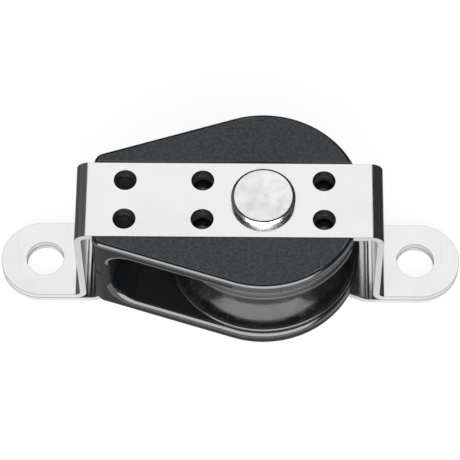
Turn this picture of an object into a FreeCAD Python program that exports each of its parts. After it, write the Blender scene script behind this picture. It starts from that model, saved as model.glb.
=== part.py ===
import FreeCAD, Part
import math
import os
import re
import Sketcher

# Sailing cheek block, millimetres, +Z up from the deck.
# The origin is on the deck, midway between the two fastener holes.
# +X runs along the strap towards the sheave end, and the nose with the rope throat points to -X.

doc = FreeCAD.newDocument("CheekBlock")

# Driving dimensions: name, value, meaning.
sizes = [
    ("rivetRadius", "2.4", "shank of the axle rivet"),
    ("rivetClearance", "0.05", "shank to the holes it passes through"),
    ("raceWall", "2.85", "inner race from its bore to the land beside its raceway"),
    ("landDepth", "1.1", "ball's centre to the land of either race"),
    ("ballRadius", "1.6", "bearing ball"),
    ("ballGap", "0.1", "least gap between neighbouring balls"),
    ("raceClearance", "0.05", "ball to raceway"),
    ("webThickness", "3.0", "sheave between its bore and the bottom of the groove"),
    ("grooveDepth", "4.1", "crest to the bottom of the rope groove"),
    ("grooveWidth", "9.9", "between the sheave's crests"),
    ("flangeThickness", "1.1", "crest to the side of the sheave"),
    ("crestLand", "0.35", "flat on the sheave's crest"),
    ("sideGap", "0.5", "between the sheave's side and the cheek's wall"),
    ("cheekPlate", "2.5", "thickness of a cheek's wall"),
    ("cheekMargin", "0.1", "cheek's round end beyond the sheave"),
    ("throatGap", "7.2", "sheave to the post at the nose"),
    ("postLength", "3.3", "spacer post at the nose, along X"),
    ("postBulge", "0.9", "rise of the curve on the post's rope side"),
    ("throatRound", "3.8", "fillet between the post and the cheek's wall"),
    ("noseAngle", "17.5", "slope of each side of the nose, degrees"),
    ("noseCorner", "1.7", "corner radius of the nose"),
    ("edgeRound", "0.65", "rounding of the cheek's outer edge"),
    ("ropeEdgeRound", "0.9", "rounding of the edge around the rope's opening"),
    ("seamRound", "0.4", "rounding at the seam of the two post halves"),
    ("stripWidth", "12.4", "width of the steel strip of strap and base plate"),
    ("stripThickness", "1.0", "thickness of the steel strip"),
    ("faceProud", "0.2", "cheek's face above the strip lying in its channel"),
    ("channelClearance", "0.2", "between the strip's edge and the channel's wall"),
    ("noseGap", "1.65", "nose to the inside of the strap's leg"),
    ("endGap", "2.05", "cheek's round end to the inside of the strap's leg"),
    ("topBend", "0.9", "inside radius of the bends at the top of the legs"),
    ("footBend", "0.8", "inside radius of the bends at the foot of the legs"),
    ("earReach", "5.55", "leg's outside to the centre of the fastener hole"),
    ("earHoleRadius", "2.85", "fastener hole for a 5 mm screw"),
    ("earOverhang", "6.7", "fastener hole's centre to the tip of the ear"),
    ("plateRise", "3.1", "underside of the base plate's raised middle above the deck"),
    ("joggleInset", "2.05", "leg's outside to the start of the base plate's joggle"),
    ("joggleLength", "4.4", "length of the joggle along X"),
    ("joggleBend", "1.2", "radius of the joggle's bends"),
    ("stripHoleRadius", "1.67", "holes in the top of the strap"),
    ("stripHoleRow", "3.25", "strap holes from the strap's centre line"),
    ("flushReach", "8.95", "flushing holes from the axle, along X"),
    ("flushHoleRadius", "1.45", "flushing holes through the cheek"),
    ("noseHoleInset", "4.7", "end of the nose to the strap holes over it"),
    ("dimpleDepth", "0.4", "mould dimples under the strap holes over the nose"),
    ("headRadius", "4.75", "rivet's cap"),
    ("headHeight", "1.35", "height of the rivet's cap"),
    ("headRound", "0.55", "edge rounding of the rivet's cap"),
    ("headCrown", "0.12", "rise of the cap's top at its middle"),
    ("tailRadius", "3.9", "rivet's formed tail"),
    ("tailHeight", "1.5", "height of the formed tail"),
]

sheet = doc.addObject("Spreadsheet::Sheet", "Dim")
for row, (name, number, meaning) in enumerate(sizes, start=1):
    sheet.set(f"A{row}", meaning)
    sheet.set(f"B{row}", number)
    sheet.setAlias(f"B{row}", name)
doc.recompute()
sizeNames = {name for name, number, meaning in sizes}

# Every cutter runs past the material by this much.
overcut = "1"

# Derived sizes, as expressions in the names above: first from the axle outwards.
boreRadius = "(rivetRadius + rivetClearance)"
innerLand = f"({boreRadius} + raceWall)"
ballPitch = f"({innerLand} + landDepth)"
outerLand = f"({ballPitch} + landDepth)"
raceRadius = "(ballRadius + raceClearance)"
sheaveRadius = f"({outerLand} + webThickness + grooveDepth)"
cheekRadius = f"({sheaveRadius} + cheekMargin)"
noseReach = f"({sheaveRadius} + throatGap + postLength)"
noseHoleReach = f"({noseReach} - noseHoleInset)"

# Along the strap.
halfInside = f"((noseGap + {noseReach} + {cheekRadius} + endGap) / 2)"
legFace = f"({halfInside} + stripThickness)"
axleOffset = f"({halfInside} - endGap - {cheekRadius})"
earHole = f"({legFace} + earReach)"
earTip = f"({earHole} + earOverhang)"
halfWidth = "(stripWidth / 2)"

# Up from the deck.
sheaveHalf = "(grooveWidth / 2 + flangeThickness)"
raceHeight = f"({sheaveHalf} + sideGap)"
halfSpan = f"({raceHeight} + cheekPlate)"
channelDepth = "(stripThickness + faceProud)"
footTop = "(2 * stripThickness)"
lowerFace = f"(plateRise + stripThickness - {channelDepth})"
middle = f"({lowerFace} + {halfSpan})"
upperFace = f"({middle} + {halfSpan})"
strapTop = f"({upperFace} - faceProud)"


def bind(text):
    """Turn an expression in plain size names into one that reads the sheet."""
    return re.sub(r"[A-Za-z]\w*", lambda word: "Dim." + word[0] if word[0] in sizeNames else word[0], text)


def measure(text):
    """Present value of an expression, in millimetres or degrees."""
    return float(sheet.evalExpression(bind(text)))


def newBody(name):
    body = doc.addObject("PartDesign::Body", name)
    body.Label = name
    return body


def newSketch(body, role, name, height="0"):
    """Sketch on one of the body's own origin planes, lifted along its normal."""
    plane = next(p for p in body.Origin.OriginFeatures if p.Role == role)
    sketch = body.newObject("Sketcher::SketchObject", name)
    sketch.AttachmentSupport = [(plane, "")]
    sketch.MapMode = "FlatFace"
    sketch.setExpression("AttachmentOffset.Base.z", bind(height))
    return sketch


def pinPoint(sketch, index, end, x, y):
    """Tie one point of a curve to an expression for each of its coordinates."""
    for kind, text in (("DistanceX", x), ("DistanceY", y)):
        number = sketch.addConstraint(Sketcher.Constraint(kind, -1, 1, index, end, measure(text)))
        sketch.setExpression(f"Constraints[{number}]", bind(text))


def tieRadius(sketch, index, radius):
    number = sketch.addConstraint(Sketcher.Constraint("Radius", index, measure(radius)))
    sketch.setExpression(f"Constraints[{number}]", bind(radius))


def drawOutline(sketch, path):
    """Closed outline. A step is (x, y) for a line to that point, or (x, y, radius, turn, large) for an arc."""
    points = [FreeCAD.Vector(measure(step[0]), measure(step[1]), 0) for step in path]
    first = sketch.GeometryCount
    ends = []
    for i, step in enumerate(path):
        start, end = points[i - 1], points[i]
        if len(step) == 2:
            sketch.addGeometry(Part.LineSegment(start, end), False)
            ends.append((1, 2))
            continue
        radius = measure(step[2])
        left = step[3] == "left"
        large = len(step) == 5
        chord = end - start
        rise = math.sqrt(max(radius ** 2 - (chord.Length / 2) ** 2, 0))
        normal = FreeCAD.Vector(-chord.y, chord.x, 0).normalize()
        centre = (start + end) / 2 + normal * (rise if left != large else -rise)
        low, high = (start, end) if left else (end, start)
        angles = [math.atan2(p.y - centre.y, p.x - centre.x) for p in (low, high)]
        if angles[1] <= angles[0]:
            angles[1] += 2 * math.pi
        circle = Part.Circle(centre, FreeCAD.Vector(0, 0, 1), radius)
        sketch.addGeometry(Part.ArcOfCircle(circle, *angles), False)
        ends.append((1, 2) if left else (2, 1))
    for i, step in enumerate(path):
        here, before = first + i, first + (i - 1) % len(path)
        sketch.addConstraint(Sketcher.Constraint("Coincident", before, ends[i - 1][1], here, ends[i][0]))
        pinPoint(sketch, here, ends[i][1], step[0], step[1])
        if len(step) > 2:
            tieRadius(sketch, here, step[2])


def drawCircle(sketch, x, y, radius):
    centre = FreeCAD.Vector(measure(x), measure(y), 0)
    index = sketch.addGeometry(Part.Circle(centre, FreeCAD.Vector(0, 0, 1), measure(radius)), False)
    pinPoint(sketch, index, 3, x, y)
    tieRadius(sketch, index, radius)


def pad(body, sketch, name, length):
    feature = body.newObject("PartDesign::Pad", name)
    feature.Profile = sketch
    feature.setExpression("Length", bind(length))
    doc.recompute()
    return feature


def padAcross(body, sketch, name, width):
    """Pad that grows equally to both sides of its sketch."""
    feature = body.newObject("PartDesign::Pad", name)
    feature.Profile = sketch
    feature.Midplane = True
    feature.setExpression("Length", bind(width))
    doc.recompute()
    return feature


def pocket(body, sketch, name, depth, upwards=True):
    """Cut from the sketch along +Z, or along -Z, and make sure that something was cut."""
    before = body.Shape.Volume
    feature = body.newObject("PartDesign::Pocket", name)
    feature.Profile = sketch
    feature.Reversed = upwards
    feature.setExpression("Length", bind(depth))
    doc.recompute()
    if body.Shape.Volume >= before - 1e-6:
        raise RuntimeError(f"{name} cuts nothing")
    return feature


def revolve(body, sketch, name):
    feature = body.newObject("PartDesign::Revolution", name)
    feature.Profile = sketch
    feature.ReferenceAxis = (sketch, ["V_Axis"])
    feature.Angle = 360
    doc.recompute()
    return feature


def roundEdges(body, name, radius, wanted):
    """Fillet the edges of the body's tip that the test picks."""
    base = body.Tip
    names = [f"Edge{i}" for i, edge in enumerate(base.Shape.Edges, start=1) if wanted(edge)]
    feature = body.newObject("PartDesign::Fillet", name)
    feature.Base = (base, names)
    feature.setExpression("Radius", bind(radius))
    doc.recompute()
    return feature


def isAcross(edge):
    """True for a straight edge that runs along Y."""
    start, end = edge.Vertexes[0].Point, edge.Vertexes[-1].Point
    return abs(start.x - end.x) < 1e-6 and abs(start.z - end.z) < 1e-6 and edge.Curve.TypeId == "Part::GeomLine"


def finishEars(body):
    """Round both ends of a strip to its full width and drill the two fastener holes."""
    rounding = newSketch(body, "XY_Plane", body.Name + "EarOutline")
    centre = f"({earTip} - {halfWidth})"
    outside = f"({halfWidth} + {overcut})"
    beyond = f"({earTip} + {overcut})"
    drawOutline(rounding, [
        (centre, f"-{outside}"), (centre, f"-{halfWidth}"),
        (earTip, "0", halfWidth, "left"), (centre, halfWidth, halfWidth, "left"),
        (centre, outside), (beyond, outside), (beyond, f"-{outside}")])
    drawOutline(rounding, [
        (f"-{centre}", outside), (f"-{centre}", halfWidth),
        (f"-{earTip}", "0", halfWidth, "left"), (f"-{centre}", f"-{halfWidth}", halfWidth, "left"),
        (f"-{centre}", f"-{outside}"), (f"-{beyond}", f"-{outside}"), (f"-{beyond}", outside)])
    pocket(body, rounding, body.Name + "EarRounding", f"{footTop} + {overcut}")
    holes = newSketch(body, "XY_Plane", body.Name + "FastenerHoles")
    drawCircle(holes, earHole, "0", "earHoleRadius")
    drawCircle(holes, f"-{earHole}", "0", "earHoleRadius")
    pocket(body, holes, body.Name + "FastenerPocket", f"{footTop} + {overcut}")


def topStrap():
    """Strip folded over the block, with a foot at each end."""
    body = newBody("top_strap")
    profile = newSketch(body, "XZ_Plane", "StrapProfile")
    outer = f"({legFace} + footBend)"
    bendEnd = f"({footTop} + footBend)"
    underside = f"({strapTop} - stripThickness)"
    outerBend = "(topBend + stripThickness)"
    underBend = "(footBend + stripThickness)"
    drawOutline(profile, [
        (f"-{earTip}", "stripThickness"), (f"-{outer}", "stripThickness"),
        (f"-{halfInside}", bendEnd, underBend, "left"), (f"-{halfInside}", f"{underside} - topBend"),
        (f"-({halfInside} - topBend)", underside, "topBend", "right"), (f"{halfInside} - topBend", underside),
        (halfInside, f"{underside} - topBend", "topBend", "right"), (halfInside, bendEnd),
        (outer, "stripThickness", underBend, "left"), (earTip, "stripThickness"),
        (earTip, footTop), (outer, footTop),
        (legFace, bendEnd, "footBend", "right"), (legFace, f"{strapTop} - {outerBend}"),
        (f"{legFace} - {outerBend}", strapTop, outerBend, "left"),
        (f"-({legFace} - {outerBend})", strapTop),
        (f"-{legFace}", f"{strapTop} - {outerBend}", outerBend, "left"), (f"-{legFace}", bendEnd),
        (f"-{outer}", footTop, "footBend", "right"), (f"-{earTip}", footTop)])
    padAcross(body, profile, "StrapSheet", "stripWidth")
    finishEars(body)
    holes = newSketch(body, "XY_Plane", "StrapHoles", strapTop)
    for reach in (f"-{noseHoleReach}", "-flushReach", "flushReach"):
        for row in ("stripHoleRow", "-stripHoleRow"):
            drawCircle(holes, f"{axleOffset} + {reach}", row, "stripHoleRadius")
    drawCircle(holes, axleOffset, "0", boreRadius)
    pocket(body, holes, "StrapHolePocket", f"stripThickness + {overcut}", upwards=False)
    return body


def basePlate():
    """Flat strip under the block, raised in the middle to clear the rivet's tail."""
    body = newBody("base_plate")
    profile = newSketch(body, "XZ_Plane", "PlateProfile")
    low = f"({legFace} - joggleInset)"
    high = f"({low} - joggleLength)"
    shift = "(stripThickness * tan(atan(plateRise / joggleLength) / 2))"
    drawOutline(profile, [
        (f"-{earTip}", "0"), (f"-{low}", "0"), (f"-{high}", "plateRise"), (high, "plateRise"),
        (low, "0"), (earTip, "0"), (earTip, "stripThickness"),
        (f"{low} + {shift}", "stripThickness"), (f"{high} + {shift}", "plateRise + stripThickness"),
        (f"-({high} + {shift})", "plateRise + stripThickness"), (f"-({low} + {shift})", "stripThickness"),
        (f"-{earTip}", "stripThickness")])
    padAcross(body, profile, "PlateSheet", "stripWidth")
    reach = measure(low) + measure(shift) + 0.01
    inside, outside = measure("stripThickness"), measure("plateRise")

    def isHollow(edge):
        level = edge.CenterOfMass.z
        return isAcross(edge) and abs(edge.CenterOfMass.x) < reach and \
            min(abs(level - inside), abs(level - outside)) < 1e-6

    def isCrown(edge):
        level = edge.CenterOfMass.z
        return isAcross(edge) and abs(edge.CenterOfMass.x) < reach and \
            min(abs(level), abs(level - inside - outside)) < 1e-6

    roundEdges(body, "JoggleInside", "joggleBend", isHollow)
    roundEdges(body, "JoggleOutside", "joggleBend + stripThickness", isCrown)
    finishEars(body)
    hole = newSketch(body, "XY_Plane", "PlateRivetHole", "plateRise + stripThickness")
    drawCircle(hole, axleOffset, "0", boreRadius)
    pocket(body, hole, "PlateRivetPocket", f"stripThickness + {overcut}", upwards=False)
    return body


def cheek(name):
    """Moulded cheek with its face at Z = 0, its post growing along +Z to the seam, and the axle at the origin."""
    body = newBody(name)
    sine = "sin(noseAngle * 1deg)"
    cosine = "cos(noseAngle * 1deg)"
    tangentX = f"({cheekRadius} * {sine})"
    tangentY = f"({cheekRadius} * {cosine})"
    trim = "(noseCorner * tan((90 - noseAngle) * 0.5deg))"
    cornerY = f"(({cheekRadius} - {noseReach} * {sine}) / {cosine})"
    sideX = f"({noseReach} - {trim} * {cosine})"
    sideY = f"({cornerY} + {trim} * {sine})"
    endY = f"({cornerY} - {trim})"

    outline = newSketch(body, "XY_Plane", name + "_outline")
    drawOutline(outline, [
        (f"-{noseReach}", f"-{endY}"), (f"-{sideX}", f"-{sideY}", "noseCorner", "left"),
        (f"-{tangentX}", f"-{tangentY}"), (f"-{tangentX}", tangentY, cheekRadius, "left", "large"),
        (f"-{sideX}", sideY), (f"-{noseReach}", endY, "noseCorner", "left")])
    pad(body, outline, name + "_wall", "cheekPlate")
    roundEdges(body, name + "_edge", "edgeRound", lambda edge: edge.BoundBox.ZMax < 1e-6)

    postX = f"({noseReach} - postLength + postBulge)"
    postY = f"(({cheekRadius} - {postX} * {sine}) / {cosine})"
    bulgeRadius = f"(({postY} * {postY} + postBulge * postBulge) / (2 * postBulge))"
    post = newSketch(body, "XY_Plane", name + "_post_outline", "cheekPlate / 2")
    drawOutline(post, [
        (f"-{noseReach}", f"-{endY}"), (f"-{sideX}", f"-{sideY}", "noseCorner", "left"),
        (f"-{postX}", f"-{postY}"), (f"-{postX}", postY, bulgeRadius, "left"),
        (f"-{sideX}", sideY), (f"-{noseReach}", endY, "noseCorner", "left")])
    pad(body, post, name + "_post", f"{halfSpan} - cheekPlate / 2")
    wall, seam = measure("cheekPlate"), measure(halfSpan)
    inside = -measure(postX) + measure("postBulge")

    def isThroat(edge):
        box = edge.BoundBox
        return abs(box.ZMin - wall) < 1e-6 and abs(box.ZMax - wall) < 1e-6 and abs(box.XMax - inside) < 1e-3

    def isRopeEdge(edge):
        box = edge.BoundBox
        return abs(box.ZMin - wall) < 1e-6 and abs(box.ZMax - wall) < 1e-6 and box.XMax > 0

    roundEdges(body, name + "_throat", "throatRound", isThroat)
    roundEdges(body, name + "_rope_edge", "ropeEdgeRound", isRopeEdge)
    roundEdges(body, name + "_seam", "seamRound", lambda edge: edge.BoundBox.ZMin > seam - 1e-6)

    channel = newSketch(body, "XY_Plane", name + "_channel_outline")
    side = f"({halfWidth} + channelClearance)"
    noseSide = f"-({noseReach} + {overcut})"
    roundSide = f"({cheekRadius} + {overcut})"
    drawOutline(channel, [
        (noseSide, f"-{side}"), (roundSide, f"-{side}"), (roundSide, side), (noseSide, side)])
    pocket(body, channel, name + "_channel", channelDepth)

    holes = newSketch(body, "XY_Plane", name + "_holes")
    for reach in ("-flushReach", "flushReach"):
        for row in ("stripHoleRow", "-stripHoleRow"):
            drawCircle(holes, reach, row, "flushHoleRadius")
    drawCircle(holes, "0", "0", boreRadius)
    pocket(body, holes, name + "_hole_pocket", f"cheekPlate + {overcut}")
    dimples = newSketch(body, "XY_Plane", name + "_dimples")
    for row in ("stripHoleRow", "-stripHoleRow"):
        drawCircle(dimples, f"-{noseHoleReach}", row, "flushHoleRadius")
    pocket(body, dimples, name + "_dimple_pocket", f"{channelDepth} + dimpleDepth")
    return body


def upperCheek():
    """The same moulding turned face up on top of the lower one."""
    body = cheek("upper_cheek")
    body.Placement = FreeCAD.Placement(FreeCAD.Vector(), FreeCAD.Rotation(FreeCAD.Vector(1, 0, 0), 180))
    body.setExpression("Placement.Base.x", bind(axleOffset))
    body.setExpression("Placement.Base.z", bind(upperFace))
    return body


def lowerCheek():
    body = cheek("lower_cheek")
    body.setExpression("Placement.Base.x", bind(axleOffset))
    body.setExpression("Placement.Base.z", bind(lowerFace))
    return body


def sheave():
    """Grooved wheel with two raceways in its bore, turned about its own axis and centred on Z = 0."""
    body = newBody("sheave")
    section = newSketch(body, "XZ_Plane", "SheaveSection")
    crest = "(grooveWidth / 2)"
    land = f"({crest} + crestLand)"
    shoulder = f"({sheaveRadius} - ({sheaveHalf} - {land}))"
    grooveRadius = f"(({crest} * {crest} + grooveDepth * grooveDepth) / (2 * grooveDepth))"
    row = f"({raceHeight} / 2)"
    mouth = f"sqrt({raceRadius} * {raceRadius} - landDepth * landDepth)"
    drawOutline(section, [
        (outerLand, f"-{sheaveHalf}"), (shoulder, f"-{sheaveHalf}"), (sheaveRadius, f"-{land}"),
        (sheaveRadius, f"-{crest}"), (sheaveRadius, crest, grooveRadius, "right"),
        (sheaveRadius, land), (shoulder, sheaveHalf), (outerLand, sheaveHalf),
        (outerLand, f"{row} + {mouth}"), (outerLand, f"{row} - {mouth}", raceRadius, "right"),
        (outerLand, f"-{row} + {mouth}"), (outerLand, f"-{row} - {mouth}", raceRadius, "right")])
    revolve(body, section, "SheaveTurning")
    body.setExpression("Placement.Base.x", bind(axleOffset))
    body.setExpression("Placement.Base.z", bind(middle))
    return body


def race(name, level):
    """One half of the inner race, with the raceway at its mid height."""
    body = newBody(name)
    section = newSketch(body, "XZ_Plane", name + "_section")
    row = f"({raceHeight} / 2)"
    mouth = f"sqrt({raceRadius} * {raceRadius} - landDepth * landDepth)"
    drawOutline(section, [
        (boreRadius, "0"), (innerLand, "0"), (innerLand, f"{row} - {mouth}"),
        (innerLand, f"{row} + {mouth}", raceRadius, "right"), (innerLand, raceHeight),
        (boreRadius, raceHeight)])
    revolve(body, section, name + "_turning")
    body.setExpression("Placement.Base.x", bind(axleOffset))
    body.setExpression("Placement.Base.z", bind(level))
    return body


def bearingBalls():
    """Two rows of loose balls, as many as go round, the upper row half a pitch on from the lower one."""
    halfAngle = math.asin((measure("ballRadius") + measure("ballGap") / 2) / measure(ballPitch))
    perRow = math.floor(math.pi / halfAngle)
    balls = []
    for half, sign in enumerate("-+"):
        for place in range(perRow):
            angle = 360 / perRow * (place + half / 2)
            ball = doc.addObject("Part::Sphere", f"ball_{len(balls) + 1:02d}")
            ball.Label = ball.Name
            ball.setExpression("Radius", bind("ballRadius"))
            ball.setExpression("Placement.Base.x", bind(f"{axleOffset} + {ballPitch} * cos({angle}deg)"))
            ball.setExpression("Placement.Base.y", bind(f"{ballPitch} * sin({angle}deg)"))
            ball.setExpression("Placement.Base.z", bind(f"{middle} {sign} {raceHeight} / 2"))
            balls.append(ball)
    return balls


def axleRivet():
    """Rivet with a low cap above the strap and a formed tail under the base plate."""
    body = newBody("axle_rivet")
    section = newSketch(body, "XZ_Plane", "RivetSection")
    capTop = f"({strapTop} + headHeight)"
    capEdge = "(headRadius - headRound)"
    crownRadius = f"(({capEdge} * {capEdge} + headCrown * headCrown) / (2 * headCrown))"
    tailBevel = "(tailHeight / 2)"
    drawOutline(section, [
        ("0", "plateRise - tailHeight"), (f"tailRadius - {tailBevel}", "plateRise - tailHeight"),
        ("tailRadius", f"plateRise - {tailBevel}"), ("tailRadius", "plateRise"),
        ("rivetRadius", "plateRise"), ("rivetRadius", strapTop), ("headRadius", strapTop),
        ("headRadius", f"{capTop} - headRound"), (capEdge, capTop, "headRound", "left"),
        ("0", f"{capTop} + headCrown", crownRadius, "left")])
    revolve(body, section, "RivetTurning")
    body.setExpression("Placement.Base.x", bind(axleOffset))
    return body


pieces = [topStrap(), basePlate(), upperCheek(), lowerCheek(), sheave(),
          race("lower_race", f"{lowerFace} + cheekPlate"), race("upper_race", middle), axleRivet()]
pieces += bearingBalls()
doc.recompute()

faults = [obj.Name for obj in doc.Objects if "Invalid" in obj.State or "Error" in obj.State]
faults += [piece.Label for piece in pieces if piece.Shape.isNull() or not piece.Shape.isValid()]
if faults:
    raise RuntimeError("failed: " + ", ".join(faults))
os.makedirs("parts", exist_ok=True)
for piece in pieces:
    piece.Shape.exportStep(f"parts/{piece.Label}.step")
    box = piece.Shape.BoundBox
    print(f"{piece.Label}: {piece.Shape.Volume:.2f} mm3, X {box.XMin:.2f} to {box.XMax:.2f}, "
          f"Y {box.YMin:.2f} to {box.YMax:.2f}, Z {box.ZMin:.2f} to {box.ZMax:.2f}")
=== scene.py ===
import math
import bpy
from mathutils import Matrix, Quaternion, Vector


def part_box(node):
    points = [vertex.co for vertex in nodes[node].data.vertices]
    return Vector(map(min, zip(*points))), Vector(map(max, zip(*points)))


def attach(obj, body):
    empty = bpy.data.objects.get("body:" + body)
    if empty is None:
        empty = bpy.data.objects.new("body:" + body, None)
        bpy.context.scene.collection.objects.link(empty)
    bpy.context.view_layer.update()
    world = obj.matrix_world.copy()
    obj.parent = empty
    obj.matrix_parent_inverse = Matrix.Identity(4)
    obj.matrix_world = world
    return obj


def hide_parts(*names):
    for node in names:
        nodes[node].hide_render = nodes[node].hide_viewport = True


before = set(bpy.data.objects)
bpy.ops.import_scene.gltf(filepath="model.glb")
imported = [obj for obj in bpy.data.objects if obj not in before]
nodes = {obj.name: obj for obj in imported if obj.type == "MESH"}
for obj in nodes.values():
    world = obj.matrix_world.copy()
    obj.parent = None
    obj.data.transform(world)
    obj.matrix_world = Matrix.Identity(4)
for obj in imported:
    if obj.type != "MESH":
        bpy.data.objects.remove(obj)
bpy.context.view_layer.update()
print("frame loaded:", len(nodes), "nodes")

mm = 0.001
scene = bpy.context.scene
scene.view_settings.view_transform = "Standard"

cameraView = {
    "azimuth": 1.325,      # degrees round from straight in front
    "elevation": 61.511,
    "roll": -0.794,
    "distance": 410.04 * mm,
    "lens": 212.32,
    "sensor": 36,
    "clip": (0.01, 20),
    "target": (0.01 * mm, 1.43 * mm, 8.87 * mm),
}


def directionFrom(azimuth, elevation):
    a, e = math.radians(azimuth), math.radians(elevation)
    return Vector((math.sin(a) * math.cos(e), -math.cos(a) * math.cos(e), math.sin(e)))


def makeCamera(view):
    data = bpy.data.cameras.new("photoCamera")
    camera = bpy.data.objects.new("photoCamera", data)
    scene.collection.objects.link(camera)
    data.sensor_width = view["sensor"]
    data.lens = view["lens"]
    data.clip_start, data.clip_end = view["clip"]
    back = directionFrom(view["azimuth"], view["elevation"])
    camera.location = Vector(view["target"]) + back * view["distance"]
    camera.rotation_mode = "QUATERNION"
    turn = Quaternion((0, 0, 1), math.radians(view["roll"]))
    camera.rotation_quaternion = (-back).to_track_quat("-Z", "Y") @ turn
    scene.camera = camera


makeCamera(cameraView)


# node helpers

def addNode(tree, kind, settings=None, inputs=None):
    node = tree.nodes.new(kind)
    for name, value in (settings or {}).items():
        setattr(node, name, value)
    for name, value in (inputs or {}).items():
        node.inputs[name].default_value = value
    return node


def join(tree, source, outName, target, inName):
    tree.links.new(source.outputs[outName], target.inputs[inName])


def mathNode(tree, operation, first, second):
    node = tree.nodes.new("ShaderNodeMath")
    node.operation = operation
    for index, value in ((0, first), (1, second)):
        if isinstance(value, (int, float)):
            node.inputs[index].default_value = value
        else:
            tree.links.new(value, node.inputs[index])
    return node.outputs[0]


# shader groups, whose sizes are in millimetres

mmPerMetre = 1000.0
coarseShare = 0.35         # scale of the coarse noise against the fine one
scratchBend = 1.2 * mm     # how far a scratch wanders
vectorSocket = ("Vector", "NodeSocketVector", None)


def floatSocket(label, value):
    return (label, "NodeSocketFloat", value)


def newGroup(name, inputs, outputs):
    group = bpy.data.node_groups.new(name, "ShaderNodeTree")
    for label, kind, value in inputs:
        socket = group.interface.new_socket(name=label, in_out="INPUT", socket_type=kind)
        if value is not None:
            socket.default_value = value
    for label in outputs:
        group.interface.new_socket(name=label, in_out="OUTPUT", socket_type="NodeSocketFloat")
    return group, group.nodes.new("NodeGroupInput"), group.nodes.new("NodeGroupOutput")


def perSize(group, source, label):
    return mathNode(group, "DIVIDE", mmPerMetre, source.outputs[label])


def splitPlace(group, source):
    parts = addNode(group, "ShaderNodeSeparateXYZ")
    join(group, source, "Vector", parts, "Vector")
    return parts


def scaledPlace(group, scales):
    # a new place whose axes are values times their own scales
    place = addNode(group, "ShaderNodeCombineXYZ")
    for axis, (value, scale) in scales.items():
        group.links.new(mathNode(group, "MULTIPLY", value, scale), place.inputs[axis])
    return place


def grainGroup():
    # a blend of fine and coarse noise, for eroded plastic and hammered metal
    group, source, result = newGroup(
        "moulded grain", [vectorSocket, floatSocket("Size", 0.2), floatSocket("Softness", 0.5)],
        ["Height", "Shade"])
    scale = perSize(group, source, "Size")
    fine = addNode(group, "ShaderNodeTexNoise", inputs={"Detail": 3.0, "Roughness": 0.6})
    coarse = addNode(group, "ShaderNodeTexNoise", inputs={"Detail": 1.0})
    join(group, source, "Vector", fine, "Vector")
    join(group, source, "Vector", coarse, "Vector")
    group.links.new(scale, fine.inputs["Scale"])
    group.links.new(mathNode(group, "MULTIPLY", scale, coarseShare), coarse.inputs["Scale"])
    mix = addNode(group, "ShaderNodeMix")
    join(group, source, "Softness", mix, "Factor")
    join(group, fine, "Fac", mix, "A")
    join(group, coarse, "Fac", mix, "B")
    join(group, mix, "Result", result, "Height")
    join(group, coarse, "Fac", result, "Shade")
    return group


def smudgeGroup():
    # slow change of gloss from handling
    group, source, result = newGroup(
        "handled gloss",
        [vectorSocket, floatSocket("Size", 6.0), floatSocket("Low", 0.2), floatSocket("High", 0.3)],
        ["Roughness", "Mask"])
    noise = addNode(group, "ShaderNodeTexNoise", inputs={"Detail": 4.0, "Roughness": 0.55})
    join(group, source, "Vector", noise, "Vector")
    group.links.new(perSize(group, source, "Size"), noise.inputs["Scale"])
    spread = addNode(group, "ShaderNodeMapRange", inputs={"From Min": 0.35, "From Max": 0.65})
    join(group, noise, "Fac", spread, "Value")
    join(group, source, "Low", spread, "To Min")
    join(group, source, "High", spread, "To Max")
    join(group, spread, "Result", result, "Roughness")
    join(group, noise, "Fac", result, "Mask")
    return group


def brushGroup():
    # fine lines along X, as a belt leaves on strip
    group, source, result = newGroup(
        "belt lines", [vectorSocket, floatSocket("Spacing", 0.08), floatSocket("Length", 12.0)],
        ["Height"])
    parts = splitPlace(group, source)
    across = perSize(group, source, "Spacing")
    along = perSize(group, source, "Length")
    scales = (("X", along), ("Y", across), ("Z", across))
    place = scaledPlace(group, {axis: (parts.outputs[axis], scale) for axis, scale in scales})
    noise = addNode(group, "ShaderNodeTexNoise", inputs={"Scale": 1.0, "Detail": 2.0, "Roughness": 0.5})
    join(group, place, "Vector", noise, "Vector")
    join(group, noise, "Fac", result, "Height")
    return group


def bandGroup():
    # 0 before the start and 1 past the end, with a soft step between
    group, source, result = newGroup(
        "level band", [floatSocket("Value", 0.0), floatSocket("Start", 0.0), floatSocket("End", 1.0)],
        ["Mask"])
    spread = addNode(group, "ShaderNodeMapRange", {"interpolation_type": "SMOOTHSTEP"})
    join(group, source, "Value", spread, "Value")
    join(group, source, "Start", spread, "From Min")
    join(group, source, "End", spread, "From Max")
    join(group, spread, "Result", result, "Mask")
    return group


def scratchGroup():
    # sparse short scratches in many directions
    group, source, result = newGroup(
        "light scratches", [vectorSocket, floatSocket("Size", 3.0), floatSocket("Width", 0.02)],
        ["Height"])
    scale = perSize(group, source, "Size")
    wander = addNode(group, "ShaderNodeTexNoise", inputs={"Detail": 1.0})
    join(group, source, "Vector", wander, "Vector")
    group.links.new(scale, wander.inputs["Scale"])
    bent = addNode(group, "ShaderNodeVectorMath", {"operation": "MULTIPLY_ADD"}, {1: (scratchBend,) * 3})
    join(group, wander, "Color", bent, 0)
    join(group, source, "Vector", bent, 2)
    cells = addNode(group, "ShaderNodeTexVoronoi", {"feature": "DISTANCE_TO_EDGE"})
    join(group, bent, "Vector", cells, "Vector")
    group.links.new(scale, cells.inputs["Scale"])
    line = addNode(group, "ShaderNodeMapRange")
    join(group, cells, "Distance", line, "Value")
    join(group, source, "Width", line, "From Max")
    join(group, line, "Result", result, "Height")
    return group


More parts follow.
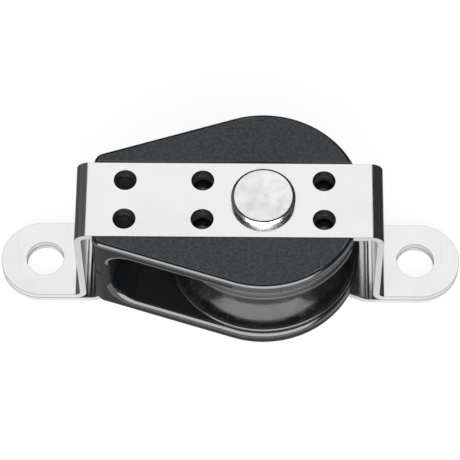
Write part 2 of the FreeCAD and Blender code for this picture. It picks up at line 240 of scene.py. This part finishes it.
def turnedGroup():
    # rings round the axle, for a wheel that runs against rope
    group, source, result = newGroup(
        "turned rings", [vectorSocket, floatSocket("Spacing", 0.3)],
        ["Height", "Radius"])
    parts = splitPlace(group, source)
    flat = addNode(group, "ShaderNodeCombineXYZ")
    join(group, parts, "X", flat, "X")
    join(group, parts, "Y", flat, "Y")
    radius = addNode(group, "ShaderNodeVectorMath", {"operation": "LENGTH"})
    join(group, flat, "Vector", radius, 0)
    scale = perSize(group, source, "Spacing")
    place = scaledPlace(group, {"X": (radius.outputs["Value"], scale), "Y": (parts.outputs["Z"], scale)})
    noise = addNode(group, "ShaderNodeTexNoise", inputs={"Scale": 1.0, "Detail": 2.0})
    join(group, place, "Vector", noise, "Vector")
    join(group, noise, "Fac", result, "Height")
    join(group, radius, "Value", result, "Radius")
    return group


grain, smudge, brush, band = grainGroup(), smudgeGroup(), brushGroup(), bandGroup()
scratch, turned = scratchGroup(), turnedGroup()
print("shader groups ready")


# material helpers

rampEnds = (0.3, 0.7)      # noise values where a tint is all dark and all light


def newMaterial(name, color, settings):
    material = bpy.data.materials.new(name)
    material.use_nodes = True
    tree = material.node_tree
    shader = tree.nodes["Principled BSDF"]
    shader.inputs["Base Color"].default_value = (*color, 1)
    for label, value in settings.items():
        shader.inputs[label].default_value = value
    place = addNode(tree, "ShaderNodeTexCoord")
    return material, tree, shader, place


def useGroup(tree, group, place, values):
    node = tree.nodes.new("ShaderNodeGroup")
    node.node_tree = group
    if place is not None:
        join(tree, place, "Object", node, "Vector")
    for label, value in values.items():
        node.inputs[label].default_value = value
    return node


def handledGloss(tree, place, finish, shader):
    gloss = useGroup(tree, smudge, place, {
        "Size": finish["smudgeSize"], "Low": finish["roughLow"], "High": finish["roughHigh"]})
    join(tree, gloss, "Roughness", shader, "Roughness")
    return gloss


def scratchMarks(tree, place, finish):
    return useGroup(tree, scratch, place, {"Size": finish["scratchSize"], "Width": finish["scratchWidth"]})


def grainMarks(tree, place, finish):
    return useGroup(tree, grain, place, {"Size": finish["grainSize"], "Softness": finish["grainSoftness"]})


def addBump(tree, height, shader, distance, before=None):
    bump = addNode(tree, "ShaderNodeBump", inputs={"Strength": 1.0, "Distance": distance})
    tree.links.new(height, bump.inputs["Height"])
    if before is not None:
        join(tree, before, "Normal", bump, "Normal")
    join(tree, bump, "Normal", shader, "Normal")
    return bump


def tintRamp(tree, mask, finish):
    ramp = addNode(tree, "ShaderNodeValToRGB")
    ends = ramp.color_ramp.elements
    for index, label in enumerate(("dark", "color")):
        ends[index].position = rampEnds[index]
        ends[index].color = (*finish[label], 1)
    tree.links.new(mask, ramp.inputs["Fac"])
    return ramp


def faceMark(tree, name):
    return addNode(tree, "ShaderNodeAttribute", {"attribute_name": name}).outputs["Fac"]


def mixBy(tree, factor, settings=None, inputs=None):
    mix = addNode(tree, "ShaderNodeMix", settings, inputs)
    tree.links.new(factor, mix.inputs["Factor"])
    return mix


# modelling helpers

meshCare = {"mergeDistance": 0.002 * mm, "flatAngle": 1.0, "normalWeight": 80}


def selectOnly(piece):
    for other in bpy.context.selected_objects:
        other.select_set(False)
    piece.select_set(True)
    bpy.context.view_layer.objects.active = piece


def applyModifier(piece, kind, settings):
    modifier = piece.modifiers.new(kind.lower(), kind)
    for name, value in settings.items():
        setattr(modifier, name, value)
    selectOnly(piece)
    bpy.ops.object.modifier_apply(modifier=modifier.name)


def copyOfNode(nodeName, pieceName):
    # the node's own shape as one merged skin, ready for finer edges
    mesh = nodes[nodeName].data.copy()
    mesh.name = pieceName
    piece = bpy.data.objects.new(pieceName, mesh)
    scene.collection.objects.link(piece)
    selectOnly(piece)
    bpy.ops.object.mode_set(mode="EDIT")
    bpy.ops.mesh.select_all(action="SELECT")
    bpy.ops.mesh.remove_doubles(threshold=meshCare["mergeDistance"])
    bpy.ops.mesh.dissolve_limited(angle_limit=math.radians(meshCare["flatAngle"]))
    bpy.ops.mesh.customdata_custom_splitnormals_clear()
    bpy.ops.object.mode_set(mode="OBJECT")
    return piece


def softenEdges(piece, finish):
    # the bevel gives its new faces the second slot, and the attribute "edge" keeps that
    angle = math.radians(finish["edgeAngle"])
    selectOnly(piece)
    bpy.ops.object.shade_smooth_by_angle(angle=angle)
    piece.data.materials.clear()
    for slot in range(2):
        piece.data.materials.append(None)
    applyModifier(piece, "BEVEL", {
        "width": finish["edgeWidth"], "segments": finish["edgeSegments"], "limit_method": "ANGLE",
        "material": 1, "angle_limit": angle, "miter_outer": "MITER_ARC"})
    mark = piece.data.attributes.new("edge", "FLOAT", "FACE")
    for face in piece.data.polygons:
        mark.data[face.index].value = float(face.material_index)
        face.material_index = 0
    # the roundings take their shading from the flats beside them
    bpy.ops.object.shade_smooth_by_angle(angle=angle)
    applyModifier(piece, "WEIGHTED_NORMAL", {
        "mode": "FACE_AREA", "weight": meshCare["normalWeight"], "keep_sharp": True})


def finishPiece(piece, material, nodeName, body):
    piece.data.materials.clear()
    piece.data.materials.append(material)
    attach(piece, body)
    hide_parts(nodeName)
    print(piece.name, "ready:", len(piece.data.polygons), "faces")


# strap and base plate: polished steel strip with deburred edges, which are painted near-black as shade and
# dark reflection along them

stripFinish = {
    "color": (0.90, 0.90, 0.905), "dark": (0.87, 0.87, 0.88), "edgeShadeColor": (0.16, 0.165, 0.17),
    "roughLow": 0.13, "roughHigh": 0.20, "smudgeSize": 7.0,
    "lineSpacing": 0.10, "lineLength": 9.0, "lineDepth": 0.0005 * mm,
    "scratchSize": 4.0, "scratchWidth": 0.006, "scratchDepth": 0.002 * mm,
    "edgeWidth": 0.14 * mm, "edgeSegments": 3, "edgeAngle": 40,
}


def stripSteel():
    finish = stripFinish
    material, tree, shader, place = newMaterial("strip steel", finish["color"], {"Metallic": 1.0})
    gloss = handledGloss(tree, place, finish, shader)
    ramp = tintRamp(tree, gloss.outputs["Mask"], finish)
    # painted shade: the bevelled edge faces take a near-black colour that stands in for the shadow in the
    # gaps and the dark reflections along the edges
    edgeShade = mixBy(tree, faceMark(tree, "edge"), {"data_type": "RGBA"}, {"B": (*finish["edgeShadeColor"], 1)})
    join(tree, ramp, "Color", edgeShade, "A")
    join(tree, edgeShade, "Result", shader, "Base Color")
    lines = useGroup(tree, brush, place, {"Spacing": finish["lineSpacing"], "Length": finish["lineLength"]})
    base = addBump(tree, lines.outputs["Height"], shader, finish["lineDepth"])
    marks = scratchMarks(tree, place, finish)
    addBump(tree, marks.outputs["Height"], shader, finish["scratchDepth"], base)
    return material


strip = stripSteel()
for nodeName, pieceName in (("top_strap", "folded_strap"), ("base_plate", "joggled_plate")):
    piece = copyOfNode(nodeName, pieceName)
    softenEdges(piece, stripFinish)
    finishPiece(piece, strip, nodeName, "block")


# axle rivet: the cap's top is hammered

rivetLow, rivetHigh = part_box("axle_rivet")
axle = ((rivetLow.x + rivetHigh.x) / 2, (rivetLow.y + rivetHigh.y) / 2)

rivetFinish = {
    "color": (0.90, 0.90, 0.90), "dark": (0.80, 0.80, 0.81),
    "roughLow": 0.14, "roughHigh": 0.26, "smudgeSize": 2.0,
    "grainSize": 0.9, "grainSoftness": 0.6, "grainDepth": 0.02 * mm,
}
rivetCrown = {
    "lean": 0.985,            # faces more level than this, near the top, are built again
    "depth": 0.2 * mm,
    "rings": 18,
    "rise": 0.05 * mm,
    "marksDepth": 0.05 * mm,
    "marksSize": 1.5 * mm,
    "marksBand": 0.16 * mm,   # how far under the top the hammer reaches
    "marksReach": 4.1 * mm,   # and how far from the axle
    "marksFade": 0.6 * mm,
    "smoothAngle": 50,
}


def rivetSteel():
    finish = rivetFinish
    material, tree, shader, place = newMaterial("rivet steel", finish["color"], {"Metallic": 1.0})
    handledGloss(tree, place, finish, shader)
    dimples = grainMarks(tree, place, finish)
    join(tree, tintRamp(tree, dimples.outputs["Shade"], finish), "Color", shader, "Base Color")
    addBump(tree, dimples.outputs["Height"], shader, finish["grainDepth"])
    return material


def openCrown(piece, top):
    # the flat top goes, and the ring of edges round the hole stays selected
    mesh = piece.data
    for edge in mesh.edges:
        edge.select = False
    for vertex in mesh.vertices:
        vertex.select = False
    for face in mesh.polygons:
        face.select = face.normal.z > rivetCrown["lean"] and face.center.z > top - rivetCrown["depth"]
        if face.select:
            for index in face.vertices:
                mesh.vertices[index].select = True
    selectOnly(piece)
    bpy.ops.object.mode_set(mode="EDIT")
    bpy.ops.mesh.select_mode(type="FACE")
    bpy.ops.mesh.delete(type="FACE")
    bpy.ops.mesh.select_mode(type="EDGE")
    bpy.ops.mesh.select_all(action="DESELECT")
    bpy.ops.mesh.select_non_manifold(
        extend=False, use_wire=False, use_multi_face=False, use_non_contiguous=False, use_verts=False)


def fillCrown(top):
    # rings drawn in towards the axle, each a little higher, closed to a point
    rings = rivetCrown["rings"]
    for ring in range(rings - 1):
        bpy.ops.mesh.extrude_edges_move()
        share = (rings - ring - 1) / (rings - ring)
        bpy.ops.transform.resize(value=(share, share, 1), center_override=(*axle, top))
        outside, inside = 1 - ring / rings, 1 - (ring + 1) / rings
        rise = rivetCrown["rise"] * (outside ** 2 - inside ** 2)
        bpy.ops.transform.translate(value=(0, 0, rise))
    bpy.ops.mesh.extrude_edges_move()
    bpy.ops.mesh.merge(type="CENTER")
    bpy.ops.mesh.select_all(action="SELECT")
    bpy.ops.mesh.normals_make_consistent(inside=False)
    bpy.ops.object.mode_set(mode="OBJECT")


def hammerCrown(piece, top):
    marks = bpy.data.textures.new("hammerMarks", "CLOUDS")
    marks.noise_scale = rivetCrown["marksSize"]
    marks.noise_depth = 1
    crown = piece.vertex_groups.new(name="crown")
    reach = rivetCrown["marksReach"]
    for vertex in piece.data.vertices:
        away = math.hypot(vertex.co.x - axle[0], vertex.co.y - axle[1])
        if vertex.co.z > top - rivetCrown["marksBand"] and away < reach:
            crown.add([vertex.index], min(1.0, (reach - away) / rivetCrown["marksFade"]), "REPLACE")
    applyModifier(piece, "DISPLACE", {
        "texture": marks, "strength": rivetCrown["marksDepth"], "mid_level": 1.0, "direction": "Z",
        "texture_coords": "LOCAL", "vertex_group": "crown"})
    bpy.ops.object.shade_smooth_by_angle(angle=math.radians(rivetCrown["smoothAngle"]))


rivet = copyOfNode("axle_rivet", "hammered_rivet")
openCrown(rivet, rivetHigh.z)
fillCrown(rivetHigh.z)
hammerCrown(rivet, rivetHigh.z)
finishPiece(rivet, rivetSteel(), "axle_rivet", "block")


# cheeks: eroded grain on the outer flats, gloss on the rounded edges, painted shade in darker colours on
# the rounded edges, walls and inside faces, and a painted highlight band at the top of the upper cheek's
# wall

cheekFinish = {
    "color": (0.062, 0.068, 0.073), "dark": (0.034, 0.038, 0.041),
    # painted shade: the rim colour on the rounded edges and the inside colour on the walls and inner faces
    # are darker copies of the same plastic, standing in for the shade on them
    "rimShade": (0.010, 0.011, 0.012), "inside": (0.005, 0.005, 0.006),
    "faceRough": 0.60, "rimRough": 0.14,
    "grainSize": 0.16, "grainSoftness": 0.35, "grainDepth": 0.02 * mm,
    "edgeWidth": 0.07 * mm, "edgeSegments": 2, "edgeAngle": 45,
}
cheekZones = {
    "uprightLean": 0.06,             # a face that leans less than this is a wall
    "flatLean": 0.998,               # and one that leans more is flat
    "levelTolerance": 0.05 * mm,
    "postLength": 4.2 * mm,
    "postUnshadedShare": 0.10,               # share of the outer colour on the post's walls, the rest painted shade
    "wallUnshadedShare": 0.025,              # and on the other walls, the rest painted shade
    "highlightBandHeight": 2.0 * mm,          # painted highlight: a band of the full outer colour at the top of the upper cheek's wall
    "seamHalf": 0.42 * mm,
}


def cheekPlastic():
    finish = cheekFinish
    material, tree, shader, place = newMaterial(
        "cheek plastic", finish["color"],
        {"Coat Roughness": 0.10, "Coat IOR": 1.9, "Specular IOR Level": 0.35})
    curve = faceMark(tree, "rounding")
    rough = mixBy(tree, curve, inputs={"A": finish["faceRough"], "B": finish["rimRough"]})
    join(tree, rough, "Result", shader, "Roughness")
    tree.links.new(curve, shader.inputs["Coat Weight"])
    pores = grainMarks(tree, place, finish)
    speckle = tintRamp(tree, pores.outputs["Shade"], finish)
    # painted shade: faces with a smaller share of the outer colour turn towards the near-black inside
    # colour, so walls, post and inner faces look shaded
    flat = mixBy(tree, faceMark(tree, "unshadedShare"), {"data_type": "RGBA"}, {"A": (*finish["inside"], 1)})
    join(tree, speckle, "Color", flat, "B")
    # painted shade: the rounded edges take the darker rim colour, so that only their gloss lights them
    rimShade = mixBy(tree, curve, {"data_type": "RGBA"}, {"B": (*finish["rimShade"], 1)})
    join(tree, flat, "Result", rimShade, "A")
    join(tree, rimShade, "Result", shader, "Base Color")
    matte = mathNode(tree, "SUBTRACT", 1.0, curve)
    depth = mathNode(tree, "MULTIPLY", pores.outputs["Height"], matte)
    addBump(tree, depth, shader, finish["grainDepth"])
    return material


def markCheek(piece, outerLevel, seam, postEnd):
    # rounding: 1 on rounded edges away from the seam
    # and the share of the outer colour that a face shows over the painted shade colour: all of it on the
    # outer flat and on the painted highlight band of the upper cheek's wall, a little on the walls, none
    # inside
    mesh = piece.data
    rounding = mesh.attributes.new("rounding", "FLOAT", "FACE")
    unshadedShare = mesh.attributes.new("unshadedShare", "FLOAT", "FACE")
    for face in mesh.polygons:
        lean, x, z = abs(face.normal.z), face.center.x, face.center.z
        upright, flat = lean <= cheekZones["uprightLean"], lean >= cheekZones["flatLean"]
        nearSeam = abs(z - seam) < cheekZones["seamHalf"]
        # painted highlight: the top of the upper cheek's wall takes the full outer colour, lighter than the
        # other walls
        inHighlightBand = outerLevel > seam and x > postEnd and outerLevel - z < cheekZones["highlightBandHeight"]
        onOuterFlat = flat and abs(z - outerLevel) < cheekZones["levelTolerance"]
        rounding.data[face.index].value = 0.0 if upright or flat or nearSeam else 1.0
        share = 0.0
        if onOuterFlat or (upright and inHighlightBand):
            share = 1.0
        elif upright:
            share = cheekZones["postUnshadedShare" if x < postEnd else "wallUnshadedShare"]
        unshadedShare.data[face.index].value = share


cheekMaterial = cheekPlastic()
upperLow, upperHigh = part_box("upper_cheek")
for nodeName, pieceName, outerLevel in (
        ("upper_cheek", "moulded_cheek_top", upperHigh.z),
        ("lower_cheek", "moulded_cheek_bottom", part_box("lower_cheek")[0].z)):
    piece = copyOfNode(nodeName, pieceName)
    softenEdges(piece, cheekFinish)
    markCheek(piece, outerLevel, upperLow.z, upperLow.x + cheekZones["postLength"])
    finishPiece(piece, cheekMaterial, nodeName, "block")


# sheave: the broken edges shine, the flanges are matte, and the groove is dulled where the line runs

sheaveFinish = {
    "dark": (0.005, 0.005, 0.006), "color": (0.012, 0.012, 0.013),
    "roughLow": 0.10, "wornRough": 0.30, "edgeRough": 0.17, "landRough": 0.5, "smudgeSize": 1.6,
    "grooveRadius": 14.35 * mm, "grooveFade": 0.5 * mm, "grooveCoat": 0.18,
    "ringSpacing": 0.35, "ringDepth": 0.004 * mm,
    "scratchSize": 2.5, "scratchWidth": 0.012, "scratchDepth": 0.006 * mm,
    "edgeWidth": 0.22 * mm, "edgeSegments": 3, "edgeAngle": 28,
}


def sheavePlastic():
    finish = sheaveFinish
    material, tree, shader, place = newMaterial(
        "sheave plastic", finish["dark"], {"Coat Roughness": 0.08, "Coat IOR": 1.8})
    centred = addNode(tree, "ShaderNodeMapping", inputs={"Location": (-axle[0], -axle[1], 0)})
    join(tree, place, "Object", centred, "Vector")
    rings = useGroup(tree, turned, None, {"Spacing": finish["ringSpacing"]})
    join(tree, centred, "Vector", rings, "Vector")
    groove = useGroup(tree, band, None, {
        "Start": finish["grooveRadius"], "End": finish["grooveRadius"] - finish["grooveFade"]})
    join(tree, rings, "Radius", groove, "Value")
    gloss = useGroup(tree, smudge, place, {
        "Size": finish["smudgeSize"], "Low": finish["roughLow"], "High": finish["wornRough"]})
    edge = faceMark(tree, "edge")
    land = addNode(tree, "ShaderNodeMapRange", inputs={
        "To Min": finish["landRough"], "To Max": finish["edgeRough"]})
    tree.links.new(edge, land.inputs["Value"])
    rough = mixBy(tree, groove.outputs["Mask"])
    join(tree, land, "Result", rough, "A")
    join(tree, gloss, "Roughness", rough, "B")
    join(tree, rough, "Result", shader, "Roughness")
    coat = addNode(tree, "ShaderNodeMapRange", inputs={"To Max": finish["grooveCoat"]})
    join(tree, groove, "Mask", coat, "Value")
    tree.links.new(edge, coat.inputs["To Min"])
    join(tree, coat, "Result", shader, "Coat Weight")
    join(tree, tintRamp(tree, gloss.outputs["Mask"], finish), "Color", shader, "Base Color")
    base = addBump(tree, rings.outputs["Height"], shader, finish["ringDepth"])
    marks = scratchMarks(tree, place, finish)
    worn = mathNode(tree, "MULTIPLY", marks.outputs["Height"], groove.outputs["Mask"])
    addBump(tree, worn, shader, finish["scratchDepth"], base)
    return material


wheel = copyOfNode("sheave", "grooved_sheave")
softenEdges(wheel, sheaveFinish)
finishPiece(wheel, sheavePlastic(), "sheave", "sheave")


# bearing: races and balls keep the CAD shape

smoothFinish = {
    "roughLow": 0.22, "roughHigh": 0.32, "smudgeSize": 3.0,
    "grainSize": 0.9, "grainSoftness": 0.7, "grainDepth": 0.005 * mm,
}
raceFinish = {**smoothFinish, "dark": (0.022, 0.022, 0.024), "color": (0.034, 0.034, 0.036)}
ballFinish = {**smoothFinish, "dark": (0.72, 0.70, 0.64), "color": (0.80, 0.79, 0.75), "roughHigh": 0.34}


def glossPlastic(name, finish):
    material, tree, shader, place = newMaterial(
        name, finish["dark"], {"Coat Weight": 0.8, "Coat Roughness": 0.06})
    gloss = handledGloss(tree, place, finish, shader)
    join(tree, tintRamp(tree, gloss.outputs["Mask"], finish), "Color", shader, "Base Color")
    pores = grainMarks(tree, place, finish)
    addBump(tree, pores.outputs["Height"], shader, finish["grainDepth"])
    return material


def dress(name, material):
    mesh = nodes[name].data
    mesh.materials.clear()
    mesh.materials.append(material)


race = glossPlastic("race plastic", raceFinish)
dress("lower_race", race)
dress("upper_race", race)
ball = glossPlastic("ball plastic", ballFinish)
for name in nodes:
    if name.startswith("ball_"):
        dress(name, ball)
print("bearing dressed")


# studio

studio = {
    "floorSize": 3.0,
    "floorDrop": 0.02 * mm,
    "floorLit": 0.8,         # floor as light and reflections meet it
    "floorSoft": 0.15,       # share of shading, and so of shadow, that the camera sees
    "floorGlow": 0.90,
    "skyLevel": 0.40,
    "frontPanel": {
        "azimuth": 0, "elevation": 32, "distance": 0.62, "width": 1.2, "height": 0.62, "power": 6.2},
    "roomHalf": 0.60,
    "roomHeight": 0.60,
    "windowHalf": 0.17,      # half width of the white opening above the back
    "windowFront": 0.195,    # its near side, from the block
    "panelTop": 0.30,        # how far forward the dark ceiling comes
    "matHeight": 0.0003,
    "matNear": 0.0355,       # mats on the floor beside the ears start here
    "matFront": -0.004,
    "darkTone": 0.02,
    "leftTone": 0.16,
    "rightTone": 0.06,
    "leftMatTone": 0.08,
    "rightMatTone": 0.04,
}
white = (1, 1, 1, 1)


def mixShaders(tree, mask, first, second, outKind):
    mix = addNode(tree, "ShaderNodeMixShader")
    tree.links.new(mask, mix.inputs["Fac"])
    tree.links.new(first.outputs[0], mix.inputs[1])
    tree.links.new(second.outputs[0], mix.inputs[2])
    join(tree, mix, "Shader", addNode(tree, outKind), "Surface")


def makeWorld():
    # white for the camera, mirrors and glass, and a lower level for all other light
    world = bpy.data.worlds.new("studio")
    scene.world = world
    world.use_nodes = True
    tree = world.node_tree
    tree.nodes.clear()
    sky = addNode(tree, "ShaderNodeBackground", inputs={"Color": white, "Strength": studio["skyLevel"]})
    backdrop = addNode(tree, "ShaderNodeBackground", inputs={"Color": white, "Strength": 1.0})
    rays = addNode(tree, "ShaderNodeLightPath")
    seen = mathNode(tree, "MAXIMUM", rays.outputs["Is Camera Ray"], rays.outputs["Is Glossy Ray"])
    seen = mathNode(tree, "MAXIMUM", seen, rays.outputs["Is Transmission Ray"])
    mixShaders(tree, seen, sky, backdrop, "ShaderNodeOutputWorld")


def makeFloor():
    bpy.ops.mesh.primitive_plane_add(size=studio["floorSize"], location=(0, 0, -studio["floorDrop"]))
    floor = bpy.context.object
    floor.name = "floor"
    material = bpy.data.materials.new("white floor")
    material.use_nodes = True
    tree = material.node_tree
    tree.nodes.clear()
    lit, soft = (
        addNode(tree, "ShaderNodeBsdfDiffuse", inputs={"Color": (*(studio[label],) * 3, 1)})
        for label in ("floorLit", "floorSoft"))
    glow = addNode(tree, "ShaderNodeEmission", inputs={"Color": white, "Strength": studio["floorGlow"]})
    seen = addNode(tree, "ShaderNodeAddShader")
    tree.links.new(soft.outputs[0], seen.inputs[0])
    tree.links.new(glow.outputs[0], seen.inputs[1])
    rays = addNode(tree, "ShaderNodeLightPath")
    mixShaders(tree, rays.outputs["Is Camera Ray"], lit, seen, "ShaderNodeOutputMaterial")
    floor.data.materials.append(material)


def makePanel(name, azimuth, elevation, distance, width, height, power):
    data = bpy.data.lights.new(name, "AREA")
    data.shape = "RECTANGLE"
    data.size = width
    data.size_y = height
    data.energy = power
    lamp = bpy.data.objects.new(name, data)
    scene.collection.objects.link(lamp)
    away = directionFrom(azimuth, elevation)
    lamp.location = away * distance
    lamp.rotation_mode = "QUATERNION"
    lamp.rotation_quaternion = away.to_track_quat("Z", "Y")
    lamp.visible_camera = False


def makeCard(name, corners, tone):
    # a card that only reflections see
    mesh = bpy.data.meshes.new(name)
    mesh.from_pydata(corners, [], [(0, 1, 2, 3)])
    card = bpy.data.objects.new(name, mesh)
    scene.collection.objects.link(card)
    material = bpy.data.materials.new(name)
    material.use_nodes = True
    shader = material.node_tree.nodes["Principled BSDF"]
    shader.inputs["Base Color"].default_value = (tone, tone, tone, 1)
    shader.inputs["Specular IOR Level"].default_value = 0.0
    mesh.materials.append(material)
    card.visible_camera = False
    card.visible_diffuse = False
    card.visible_shadow = False
    card.visible_transmission = False


def levelCard(name, xRange, yRange, height, tone):
    (left, right), (near, far) = xRange, yRange
    corners = [(left, near, height), (right, near, height), (right, far, height), (left, far, height)]
    makeCard(name, corners, studio[tone])


def uprightCard(name, start, end, height, tone):
    makeCard(name, [(*start, 0.0), (*end, 0.0), (*end, height), (*start, height)], studio[tone])


def makeCards():
    half, high = studio["roomHalf"], studio["roomHeight"]
    gap, near, front = studio["windowHalf"], studio["windowFront"], studio["panelTop"]
    levelCard("ceilingFlag", (-half, half), (-front, near), high, "darkTone")
    levelCard("ceilingLeft", (-half, -gap), (near, half), high, "leftTone")
    levelCard("ceilingRight", (gap, half), (near, half), high, "rightTone")
    uprightCard("leftFlag", (-half, -half), (-half, half), high, "leftTone")
    uprightCard("rightFlag", (half, -half), (half, half), high, "rightTone")
    uprightCard("backFlag", (-half, half), (half, half), high, "darkTone")
    beside, depth = studio["matNear"], (studio["matFront"], half)
    levelCard("leftMat", (-half, -beside), depth, studio["matHeight"], "leftMatTone")
    levelCard("rightMat", (beside, half), depth, studio["matHeight"], "rightMatTone")


makeWorld()
makeFloor()
makePanel("frontPanel", **studio["frontPanel"])
makeCards()
print("studio ready")
